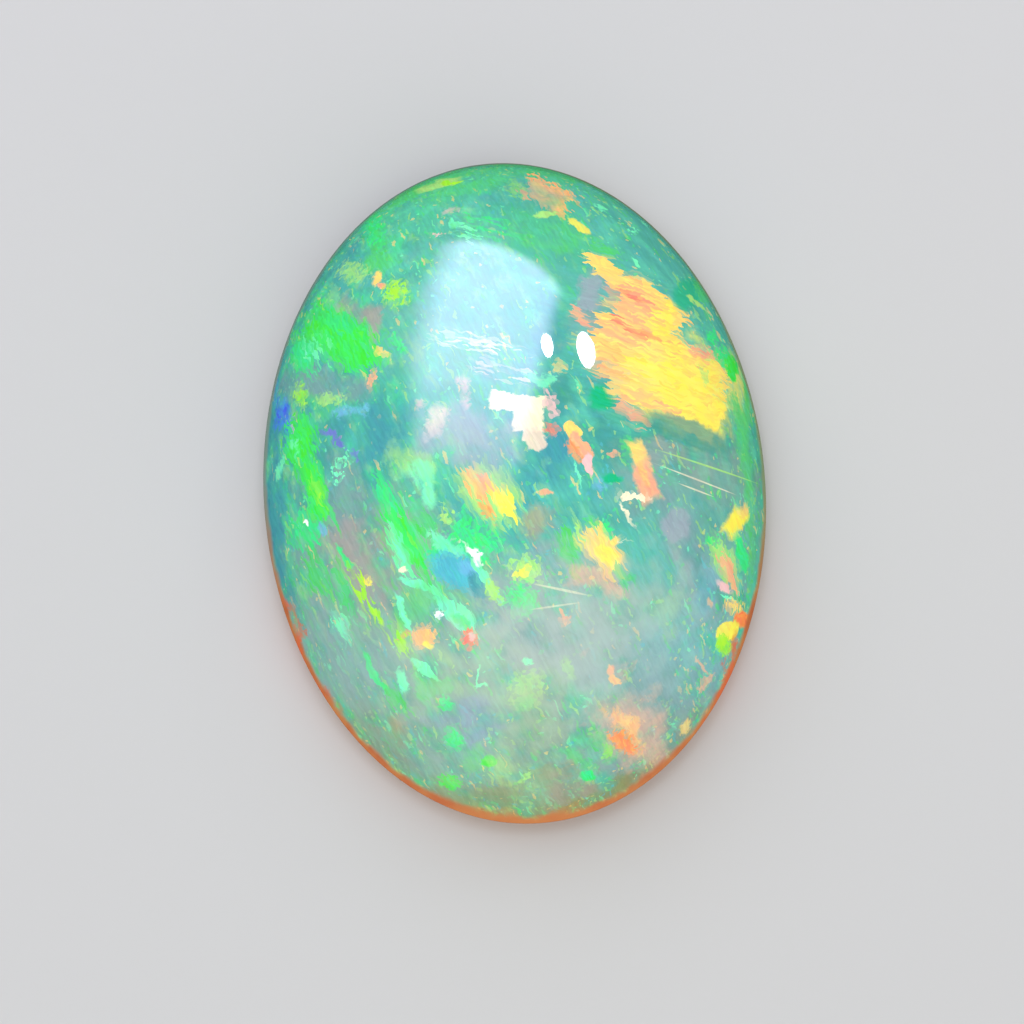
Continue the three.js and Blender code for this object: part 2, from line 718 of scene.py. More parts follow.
# The large gold flake on the right, and what lies round it
GOLD_FLAKES = (
    Mark((604, 310), (0.9, 0.9), -50, Fire.SLATE, strength=0.6),
    Mark((590, 288), (0.5, 0.3), -30, Fire.LILAC, soft=0.8, strength=0.7),
    Mark((555, 316), (0.5, 0.8), 0, Fire.LAGOON, strength=0.7),
    Mark((604, 268), (0.95, 0.36), -42, Fire.GOLD, Grain.SHALLOW, ragged=0.3, soft=0.4),
    Mark((624, 284), (0.6, 0.3), -30, Fire.GOLD, Grain.SHALLOW, ragged=0.3, soft=0.4),
    Mark((650, 312), (1.35, 0.9), -40, Fire.GOLD, Grain.SHALLOW, ragged=0.3, soft=0.3, square=True),
    Mark((640, 350), (1.9, 0.95), -20, Fire.GOLD, Grain.SHALLOW, ragged=0.3, soft=0.3, square=True),
    Mark((672, 380), (2.0, 1.4), -22, Fire.GOLD, Grain.SHALLOW, ragged=0.3, soft=0.25, square=True),
    Mark((700, 412), (0.9, 0.8), -30, Fire.GOLD, Grain.PLATE, soft=0.2, square=True),
    Mark((690, 392), (1.9, 1.3), -22, Fire.YELLOW, strength=0.85),
    Mark((664, 321), (0.7, 0.9), -60, Fire.YELLOW, strength=0.9),
    Mark((645, 366), (1.8, 0.5), -22, Fire.YELLOW, Grain.SHALLOW, ragged=1.2, soft=0.9, strength=0.8),
    Mark((634, 306), (0.9, 0.6), -45, Fire.PEACH, Grain.SHALLOW, soft=0.9, strength=0.85),
    Mark((618, 334), (0.9, 0.34), -25, Fire.PEACH, Grain.SHALLOW, soft=0.9, strength=0.8),
    Mark((606, 362), (0.8, 0.5), -45, Fire.APRICOT, Grain.SHALLOW, soft=0.8, strength=0.85),
    Mark((641, 334), (0.85, 0.12), -16, Fire.CORAL, Grain.SHALLOW, ragged=0.3, soft=0.9, strength=0.7),
    Mark((632, 296), (0.6, 0.1), -30, Fire.CORAL, Grain.SHALLOW, ragged=0.3, soft=0.9, strength=0.6),
    Mark((655, 404), (0.9, 0.24), -26, Fire.PEACH, Grain.SHALLOW, soft=0.9, strength=0.7),
    Mark((680, 352), (0.8, 0.3), -22, Fire.APRICOT, Grain.SHALLOW, ragged=1.2, soft=0.9, strength=0.7),
    Mark((700, 352), (0.5, 0.22), -20, Fire.PEACH, Grain.SHALLOW, strength=0.9),
    Mark((698, 368), (0.3, 0.2), 0, Fire.PEAR, soft=0.7, strength=0.6),
    Mark((582, 317), (0.5, 0.2), -48, Fire.PEACH, Grain.SHALLOW, soft=0.5, strength=0.8),
    Mark((616, 320), (0.4, 0.16), -40, Fire.CORAL, Grain.SHALLOW, soft=0.5, strength=0.7),
    Mark((689, 293), (0.5, 0.7), -30, Fire.EMERALD, Grain.PLATE, strength=0.7),
    Mark((701, 292), (0.22, 0.5), 20, Fire.LEAF, Grain.CRUMB),
    Mark((698, 303), (0.5, 0.08), -35, Fire.PEAR, Grain.PLATE),
    Mark((712, 338), (0.2, 0.26), 0, Fire.SPRING, Grain.CRUMB),
    Mark((722, 356), (0.34, 0.3), -30, Fire.SPRING, Grain.CRUMB),
    Mark((732, 368), (0.26, 0.5), 10, Fire.NEON, Grain.PLATE, soft=0.4),
    Mark((628, 410), (0.65, 0.3), -45, Fire.PEACH, Grain.SHALLOW, strength=0.8),
    Mark((560, 390), (0.6, 0.7), 0, Fire.DEEP, strength=0.8),
    Mark((601, 398), (0.42, 0.5), 50, Fire.EMERALD, Grain.PLATE),
    Mark((541, 370), (0.3, 0.3), 0, Fire.MINT, soft=0.7, strength=0.7),
    Mark((560, 367), (0.24, 0.18), 0, Fire.GOLD, Grain.CRUMB, strength=0.6),
)

# Neon greens and blues down the left side
LEFT_FLAKES = (
    Mark((277, 500), (0.5, 4.6), 2, Fire.LAGOON, strength=0.95),
    Mark((286, 350), (0.5, 1.4), -14, Fire.LAGOON, strength=0.8),
    Mark((288, 404), (0.34, 1.1), 2, Fire.BLUE, soft=0.9, strength=0.95),
    Mark((376, 418), (0.95, 1.1), 0, Fire.LAGOON, soft=0.9, strength=0.9),
    Mark((352, 508), (1.0, 1.7), 18, Fire.SLATE, soft=0.9, strength=0.85),
    Mark((366, 556), (1.2, 1.2), 20, Fire.DUSK, soft=0.9, strength=0.75),
    Mark((330, 385), (1.2, 0.5), -10, Fire.SLATE, soft=0.9, strength=0.8),
    Mark((332, 408), (0.8, 0.35), -10, Fire.LEAF, soft=0.9, strength=0.6),
    Mark((337, 336), (1.4, 0.85), -30, Fire.NEON, Grain.STEEP, ragged=0.3, square=True),
    Mark((362, 355), (0.8, 0.4), -10, Fire.NEON, Grain.STEEP),
    Mark((303, 356), (0.5, 0.75), 20, Fire.SPRING, Grain.STEEP, ragged=0.3),
    Mark((315, 350), (0.4, 0.5), -50, Fire.MINT, Grain.STEEP, ragged=1.2, strength=0.8),
    Mark((340, 325), (0.7, 0.3), -35, Fire.SPRING, Grain.STEEP, strength=0.8),
    Mark((397, 342), (0.45, 0.2), -55, Fire.SPRING, Grain.CRUMB),
    Mark((380, 352), (0.3, 0.14), -40, Fire.GOLD, Grain.CRUMB, strength=0.7),
    Mark((300, 395), (0.25, 0.42), 10, Fire.LIME, Grain.CRUMB, strength=0.8),
    Mark((330, 399), (0.55, 0.2), 0, Fire.PEAR, Grain.CRUMB, strength=0.8),
    Mark((371, 379), (0.16, 0.34), -10, Fire.PEACH, Grain.CRUMB, strength=0.8),
    Mark((350, 413), (0.3, 0.3), 0, Fire.SKY, soft=0.8, strength=0.8),
    Mark((345, 442), (0.6, 0.2), -28, Fire.VIOLET, soft=0.6),
    Mark((300, 442), (0.62, 0.95), -15, Fire.NEON, Grain.STEEP, ragged=0.3),
    Mark((288, 453), (0.2, 0.5), 0, Fire.MINT, soft=0.7, strength=0.7),
    Mark((312, 478), (0.42, 0.8), 15, Fire.NEON, Grain.STEEP, ragged=0.3),
    Mark((318, 506), (0.42, 0.75), 12, Fire.NEON, Grain.STEEP, ragged=0.3),
    Mark((318, 494), (0.2, 0.5), 20, Fire.LIME, Grain.STEEP, strength=0.6),
    Mark((305, 532), (0.6, 0.65), 0, Fire.SPRING, Grain.STEEP),
    Mark((323, 529), (0.2, 0.24), 0, Fire.SKY, Grain.PLATE, strength=0.6),
    Mark((308, 523), (0.1, 0.1), 0, Fire.WHITE, Grain.PLATE),
    Mark((333, 513), (0.8, 0.1), -71, Fire.LEAF, Grain.PLATE),
    Mark((341, 466), (0.5, 0.2), 68, Fire.MINT, Grain.CRUMB, ragged=1.2),
    Mark((317, 578), (0.95, 0.42), -65, Fire.LEAF, Grain.STEEP),
    Mark((343, 590), (0.95, 0.26), -76, Fire.LEAF, Grain.STEEP),
    Mark((346, 556), (0.5, 0.12), -55, Fire.SPRING, Grain.PLATE, strength=0.9),
    Mark((341, 627), (0.56, 0.26), -70, Fire.MINT, Grain.STEEP),
    Mark((362, 592), (0.9, 0.3), -58, Fire.LIME, Grain.STEEP, ragged=1.2),
    Mark((377, 614), (0.5, 0.1), -48, Fire.LIME, Grain.PLATE, strength=0.9),
    Mark((368, 581), (0.2, 0.16), 0, Fire.YELLOW, Grain.CRUMB, strength=0.8),
)

# The steep green streaks, crystals and warm spots left of the middle
MIDDLE_FLAKES = (
    Mark((412, 470), (1.3, 0.55), -55, Fire.PEAR, soft=0.7, strength=0.6),
    Mark((420, 492), (0.9, 0.5), -60, Fire.MINT, soft=0.7, strength=0.7),
    Mark((383, 488), (0.6, 0.2), -65, Fire.SPRING, Grain.STEEP),
    Mark((395, 514), (1.3, 0.36), -64, Fire.SPRING, Grain.STEEP),
    Mark((410, 545), (1.2, 0.62), -58, Fire.NEON, Grain.STEEP),
    Mark((400, 552), (0.9, 0.26), -68, Fire.MINT, Grain.STEEP, strength=0.85),
    Mark((424, 520), (0.8, 0.3), -60, Fire.LEAF, Grain.STEEP, strength=0.8),
    Mark((405, 569), (0.12, 0.1), 0, Fire.CREAM, Grain.PLATE),
    Mark((446, 516), (0.24, 0.36), 0, Fire.PEAR, Grain.CRUMB, ragged=1.2),
    Mark((490, 494), (1.25, 0.82), -42, Fire.PEAR, Grain.STEEP, ragged=0.3),
    Mark((482, 487), (0.7, 0.45), -42, Fire.APRICOT, Grain.STEEP, soft=0.6),
    Mark((505, 502), (0.75, 0.3), -48, Fire.YELLOW, Grain.STEEP, soft=0.4, strength=0.85),
    Mark((489, 493), (0.3, 0.16), -30, Fire.ORANGE, soft=0.7, strength=0.6),
    Mark((472, 541), (0.8, 0.62), -40, Fire.SPRING, Grain.CRUMB, square=True),
    Mark((474, 546), (0.3, 0.15), -38, Fire.WHITE, soft=0.8),
    Mark((480, 558), (0.2, 0.24), 40, Fire.WHITE, soft=0.8),
    Mark((441, 551), (0.46, 0.36), 25, Fire.SPRING, Grain.CRUMB),
    Mark((455, 549), (0.3, 0.3), 0, Fire.MINT, soft=0.6, strength=0.7),
    Mark((455, 571), (0.95, 0.6), -25, Fire.AZURE, Grain.CRUMB, ragged=0.3),
    Mark((469, 567), (0.4, 0.24), -35, Fire.SKY, Grain.PLATE, strength=0.6),
    Mark((474, 592), (0.6, 0.5), -45, Fire.LAGOON, soft=0.6),
    Mark((488, 582), (0.85, 0.16), -55, Fire.MINT, Grain.STEEP),
    Mark((494, 592), (0.45, 0.22), -58, Fire.LIME, Grain.CRUMB, strength=0.8),
    Mark((416, 583), (0.6, 0.12), -18, Fire.MINT, Grain.PLATE),
    Mark((437, 595), (0.6, 0.2), -38, Fire.MINT, Grain.STEEP),
    Mark((460, 617), (0.85, 0.34), -48, Fire.MINT, Grain.STEEP, ragged=0.3),
    Mark((464, 622), (0.5, 0.16), -48, Fire.SPRING, Grain.PLATE, strength=0.8),
    Mark((421, 600), (0.6, 0.5), -30, Fire.LEAF, soft=0.8, strength=0.6),
    Mark((440, 615), (0.16, 0.16), 0, Fire.WHITE, Grain.CRUMB, strength=0.8),
    Mark((404, 612), (0.75, 0.12), -68, Fire.MINT, Grain.PLATE),
    Mark((424, 637), (0.46, 0.44), 0, Fire.APRICOT, Grain.CRUMB, ragged=0.3),
    Mark((420, 634), (0.24, 0.24), 0, Fire.ORANGE, soft=0.7, strength=0.6),
    Mark((431, 645), (0.2, 0.12), -40, Fire.YELLOW, Grain.PLATE, strength=0.8),
    Mark((401, 640), (0.3, 0.5), 10, Fire.LIME, Grain.STEEP),
    Mark((471, 640), (0.28, 0.34), 0, Fire.CORAL, Grain.CRUMB),
    Mark((473, 636), (0.12, 0.14), 0, Fire.PINK, Grain.PLATE, strength=0.8),
    Mark((525, 569), (0.6, 0.42), -20, Fire.PEAR, Grain.CRUMB),
    Mark((520, 572), (0.3, 0.16), 10, Fire.YELLOW, Grain.CRUMB, strength=0.7),
    Mark((521, 600), (0.5, 0.62), 15, Fire.SPRING, Grain.CRUMB),
    Mark((541, 524), (0.6, 0.45), 0, Fire.TAN, soft=0.8, strength=0.6),
)

# Cream, peach and yellow shards in the middle, with deep teal between them
HEART_FLAKES = (
    Mark((556, 446), (0.55, 0.5), -20, Fire.LAGOON, Grain.PLATE, soft=0.6),
    Mark((518, 402), (1.0, 0.36), -8, Fire.CREAM, Grain.PLATE, soft=0.25, strength=0.85, square=True),
    Mark((529, 416), (0.55, 0.55), 0, Fire.CREAM, Grain.PLATE, soft=0.3, strength=0.85, square=True),
    Mark((535, 438), (0.5, 0.4), -50, Fire.SHELL, Grain.PLATE, soft=0.3, strength=0.8),
    Mark((434, 415), (0.3, 0.55), 20, Fire.SHELL, soft=0.8, strength=0.8),
    Mark((466, 392), (0.3, 0.5), 0, Fire.PINK, soft=0.8, strength=0.8),
    Mark((410, 400), (0.3, 0.3), 0, Fire.PINK, soft=0.8, strength=0.6),
    Mark((480, 345), (1.2, 0.3), -12, Fire.CREAM, Grain.SHALLOW, ragged=1.2, soft=0.9, strength=0.6),
    Mark((500, 370), (1.0, 0.25), -12, Fire.SHELL, Grain.SHALLOW, ragged=1.2, soft=0.9, strength=0.6),
    Mark((470, 440), (1.6, 1.0), -20, Fire.LILAC, soft=0.9, strength=0.7),
    Mark((550, 404), (0.2, 0.4), 20, Fire.PINK, Grain.CRUMB, strength=0.8),
    Mark((552, 429), (0.26, 0.2), -20, Fire.CORAL, Grain.CRUMB, strength=0.7),
    Mark((572, 430), (0.42, 0.26), -48, Fire.GOLD, Grain.PLATE, soft=0.3),
    Mark((582, 446), (0.6, 0.26), -55, Fire.PEACH, Grain.PLATE, soft=0.3),
    Mark((584, 446), (0.3, 0.16), -55, Fire.ORANGE, soft=0.7, strength=0.7),
    Mark((590, 465), (0.5, 0.16), -80, Fire.PINK, Grain.PLATE, soft=0.4),
    Mark((601, 466), (0.4, 0.3), 0, Fire.SKY, soft=0.8, strength=0.8),
    Mark((613, 478), (0.38, 0.2), -10, Fire.EMERALD, Grain.PLATE),
    Mark((614, 455), (0.22, 0.14), 0, Fire.PEACH, Grain.CRUMB, strength=0.7),
    Mark((629, 446), (0.3, 0.3), 0, Fire.LEAF, Grain.CRUMB, strength=0.8),
    Mark((641, 456), (0.6, 0.28), -68, Fire.GOLD, Grain.PLATE, square=True),
    Mark((647, 480), (0.7, 0.36), -72, Fire.PEACH, Grain.PLATE, square=True),
    Mark((644, 472), (0.5, 0.14), -72, Fire.APRICOT, Grain.PLATE, soft=0.6),
    Mark((634, 497), (0.56, 0.14), -8, Fire.CREAM, Grain.CRUMB, ragged=0.3),
    Mark((630, 516), (0.62, 0.07), -60, Fire.CREAM, Grain.PLATE, strength=0.85),
    Mark((546, 492), (0.24, 0.08), 0, Fire.PEACH, Grain.PLATE, strength=0.8),
    Mark((579, 473), (0.5, 0.05), -78, Fire.MINT, Grain.PLATE, strength=0.8),
    Mark((603, 529), (0.4, 0.32), -60, Fire.SPRING, Grain.CRUMB),
    Mark((592, 522), (0.3, 0.2), -40, Fire.LEAF, Grain.CRUMB),
    Mark((571, 548), (0.4, 0.8), 10, Fire.LEAF, Grain.STEEP),
    Mark((578, 532), (0.5, 0.16), -70, Fire.PEAR, Grain.STEEP),
    Mark((604, 552), (0.85, 0.5), -50, Fire.GOLD, Grain.STEEP, ragged=0.3, square=True),
    Mark((609, 555), (0.6, 0.28), -52, Fire.YELLOW, Grain.PLATE, soft=0.5, strength=0.8),
    Mark((616, 541), (0.3, 0.16), 30, Fire.GOLD, Grain.PLATE),
    Mark((596, 574), (0.6, 0.4), 10, Fire.PEACH, soft=0.8, strength=0.6),
    Mark((624, 577), (0.4, 0.24), -45, Fire.LEAF, Grain.STEEP, strength=0.8),
    Mark((627, 540), (0.3, 0.04), 4, Fire.CREAM, Grain.PLATE, strength=0.8),
    Mark((648, 552), (0.8, 1.3), 20, Fire.TEAL, Grain.PLATE, strength=0.8, square=True),
    Mark((565, 619), (0.24, 0.2), -20, Fire.PEACH, Grain.CRUMB),
    Mark((591, 637), (0.24, 0.2), 0, Fire.PEACH, soft=0.8, strength=0.5),
)

# The right edge: hairlines, yellow shards and a green rim
RIGHT_FLAKES = (
    Mark((688, 432), (1.7, 0.5), -20, Fire.DEEP, Grain.PLATE, soft=0.5, strength=0.8),
    Mark((748, 460), (0.4, 3.4), 3, Fire.LEAF, soft=0.9, strength=0.85),
    Mark((742, 395), (0.3, 1.4), 8, Fire.LEAF, soft=0.8, strength=0.7),
    Mark((707, 466), (1.9, 0.035), -17, Fire.PEAR, Grain.LINE, strength=0.9),
    Mark((698, 480), (1.5, 0.03), -20, Fire.CREAM, Grain.LINE, strength=0.6),
    Mark((696, 490), (0.7, 0.03), -20, Fire.CREAM, Grain.LINE, strength=0.6),
    Mark((672, 458), (0.9, 0.5), -15, Fire.DUSK, soft=0.9, strength=0.35),
    Mark((735, 522), (0.56, 0.34), 55, Fire.YELLOW, Grain.PLATE, square=True),
    Mark((744, 510), (0.3, 0.16), 70, Fire.GOLD, Grain.PLATE, strength=0.8),
    Mark((738, 540), (0.4, 0.16), -80, Fire.PEAR, Grain.CRUMB),
    Mark((712, 541), (0.34, 0.22), -40, Fire.SPRING, Grain.CRUMB),
    Mark((725, 565), (1.0, 0.42), -68, Fire.PEAR, Grain.STEEP, ragged=0.3),
    Mark((729, 572), (0.7, 0.26), -68, Fire.PEACH, Grain.STEEP, soft=0.4, strength=0.9),
    Mark((742, 553), (0.7, 0.22), -80, Fire.SPRING, Grain.PLATE, soft=0.5),
    Mark((724, 586), (0.4, 0.14), -35, Fire.PINK, Grain.PLATE),
    Mark((729, 597), (0.4, 0.06), -20, Fire.MINT, Grain.PLATE),
    Mark((734, 606), (0.36, 0.2), -20, Fire.GOLD, Grain.CRUMB),
    Mark((742, 618), (0.3, 0.3), 0, Fire.ORANGE, Grain.PLATE, soft=0.5),
    Mark((729, 630), (0.5, 0.34), 20, Fire.YELLOW, Grain.PLATE, soft=0.3),
    Mark((724, 645), (0.3, 0.42), 20, Fire.LIME, Grain.CRUMB, ragged=0.3),
    Mark((710, 602), (0.22, 0.1), -50, Fire.APRICOT, Grain.PLATE, strength=0.8),
    Mark((676, 524), (0.5, 0.6), -30, Fire.LILAC, Grain.PLATE, soft=0.5, strength=0.6),
    Mark((702, 574), (0.5, 0.7), 0, Fire.AZURE, soft=0.9, strength=0.5),
    Mark((661, 611), (0.8, 0.5), -60, Fire.PEAR, soft=0.9, strength=0.35),
)

# Small soft flakes in the milky lower part
LOWER_FLAKES = (
    Mark((330, 660), (1.6, 1.6), -60, Fire.SLATE, strength=0.6),
    Mark((400, 745), (2.4, 1.1), -40, Fire.MIST, strength=0.6),
    Mark((600, 640), (1.6, 1.4), -30, Fire.LILAC, strength=0.6),
    Mark((665, 700), (1.3, 1.2), -40, Fire.SLATE, strength=0.7),
    Mark((520, 640), (1.2, 0.8), 0, Fire.LILAC, strength=0.6),
    Mark((500, 790), (3.0, 0.8), 0, Fire.MOSS, strength=0.6),
    Mark((370, 664), (0.5, 0.12), -72, Fire.SPRING, Grain.PLATE),
    Mark((380, 681), (0.6, 0.14), -50, Fire.SPRING, Grain.PLATE, soft=0.3),
    Mark((396, 699), (0.7, 0.26), -48, Fire.LEAF, Grain.STEEP),
    Mark((404, 682), (0.42, 0.2), -72, Fire.MINT, Grain.PLATE, square=True),
    Mark((427, 670), (0.65, 0.16), -34, Fire.MINT, Grain.PLATE, soft=0.3),
    Mark((432, 672), (0.4, 0.3), -34, Fire.LEAF, soft=0.7, strength=0.7),
    Mark((446, 704), (0.3, 0.2), -50, Fire.SPRING, Grain.CRUMB),
    Mark((478, 676), (0.42, 0.05), 80, Fire.MINT, Grain.PLATE),
    Mark((481, 685), (0.24, 0.06), 0, Fire.MINT, Grain.PLATE),
    Mark((530, 660), (0.2, 0.12), 0, Fire.MINT, Grain.PLATE),
    Mark((470, 716), (0.85, 0.75), 0, Fire.VIOLET, soft=0.95, strength=0.55),
    Mark((454, 739), (0.42, 0.26), -60, Fire.SPRING, Grain.CRUMB, ragged=0.3),
    Mark((472, 745), (0.5, 0.3), 0, Fire.LEAF, soft=0.8, strength=0.6),
    Mark((489, 761), (0.3, 0.24), -20, Fire.NEON, Grain.PLATE, soft=0.5),
    Mark((449, 782), (0.42, 0.3), 0, Fire.NEON, Grain.CRUMB, soft=0.5, strength=0.8),
    Mark((527, 690), (0.6, 0.65), 0, Fire.PEAR, Grain.CRUMB, soft=0.6, strength=0.7),
    Mark((531, 700), (0.4, 0.3), 0, Fire.SPRING, soft=0.8, strength=0.5),
    Mark((511, 760), (0.65, 0.4), 0, Fire.PEAR, soft=0.9, strength=0.5),
    Mark((524, 778), (0.3, 0.1), 30, Fire.PEAR, Grain.CRUMB, strength=0.8),
    Mark((395, 732), (0.65, 0.5), 0, Fire.TAN, soft=0.9, strength=0.7),
    Mark((540, 720), (1.0, 1.2), 0, Fire.MOSS, soft=0.9, strength=0.4),
    Mark((566, 790), (0.9, 0.5), 10, Fire.DUSK, soft=0.9, strength=0.5),
    Mark((568, 660), (0.7, 0.2), -62, Fire.PEAR, soft=0.8, strength=0.6),
    Mark((611, 670), (0.18, 0.22), 0, Fire.PEACH, Grain.PLATE, soft=0.6),
    Mark((615, 679), (0.28, 0.16), -35, Fire.APRICOT, Grain.PLATE, soft=0.5),
    Mark((640, 668), (0.34, 0.36), 0, Fire.PEACH, soft=0.9, strength=0.5),
    Mark((632, 724), (1.1, 0.9), -50, Fire.PEACH, soft=0.9, strength=0.6),
    Mark((620, 722), (0.6, 0.32), -42, Fire.APRICOT, soft=0.7, strength=0.8),
    Mark((624, 742), (0.6, 0.3), -40, Fire.ORANGE, Grain.CRUMB, soft=0.5, strength=0.85),
    Mark((607, 751), (0.2, 0.26), 0, Fire.LIME, Grain.CRUMB, strength=0.7),
    Mark((591, 738), (0.5, 0.36), -30, Fire.LEAF, soft=0.8, strength=0.6),
    Mark((577, 757), (0.5, 0.26), -40, Fire.LEAF, soft=0.8, strength=0.7),
    Mark((588, 775), (0.28, 0.2), 0, Fire.SPRING, Grain.PLATE, soft=0.5),
    Mark((687, 730), (0.3, 0.2), 20, Fire.GOLD, soft=0.7, strength=0.7),
    Mark((702, 665), (0.4, 0.08), -52, Fire.PEACH, Grain.PLATE, soft=0.6, strength=0.7),
    Mark((705, 682), (0.4, 0.16), 40, Fire.PEACH, Grain.CRUMB, soft=0.6, strength=0.6),
    Mark((563, 590), (0.95, 0.05), -12, Fire.CREAM, Grain.LINE, strength=0.5),
    Mark((556, 606), (0.8, 0.04), 8, Fire.CREAM, Grain.LINE, strength=0.4),
)

FLAKES = (
    *TOP_FLAKES,
    *GOLD_FLAKES,
    *LEFT_FLAKES,
    *MIDDLE_FLAKES,
    *HEART_FLAKES,
    *RIGHT_FLAKES,
    *LOWER_FLAKES,
)

# Milk laid over the flakes, thickest in the lower half: partly the milky body, partly a painted pale
# reflection that lightens the lower slopes
MILK_AND_SHEEN_VEILS = (
    Mark((560, 640), (3.4, 2.2), 20, Fire.MILK, soft=0.95, strength=0.35),
    Mark((480, 700), (3.0, 2.0), -30, Fire.MILK, soft=0.95, strength=0.25),
    Mark((650, 640), (2.6, 3.0), 30, Fire.HAZE, soft=0.95, strength=0.3),
    Mark((470, 330), (2.2, 3.4), -8, Fire.HAZE, soft=0.95, strength=0.25),
    Mark((350, 660), (2.0, 2.4), -60, Fire.HAZE, soft=0.95, strength=0.25),
)

# Painted light: the warm glow of light coming through the thin rim, painted as colour, brightest at two
# spots
PAINTED_RIM_GLOWS = (
    Mark((297, 640), (1.6, 0.24), -66, Fire.EMBER, soft=0.8, strength=0.85),
    Mark((324, 709), (2.0, 0.24), -54, Fire.HONEY, soft=0.8, strength=0.6),
    Mark((730, 682), (1.3, 0.24), 62, Fire.EMBER, soft=0.8, strength=0.85),
    Mark((520, 822), (3.6, 0.4), 0, Fire.HONEY, soft=0.9, strength=0.5),
)


# The colours that the scattered flecks draw from
FLECK_FIRES = (
    Fire.LEAF,
    Fire.SPRING,
    Fire.PEAR,
    Fire.MINT,
    Fire.LEAF,
    Fire.AZURE,
    Fire.PEAR,
    Fire.GOLD,
)


@dataclass(frozen=True)
class Layer:
    """A colour laid over the whole stone, and how much of it covers what lies under it."""

    name: str
    share: bpy.types.NodeSocket
    colour: bpy.types.NodeSocket


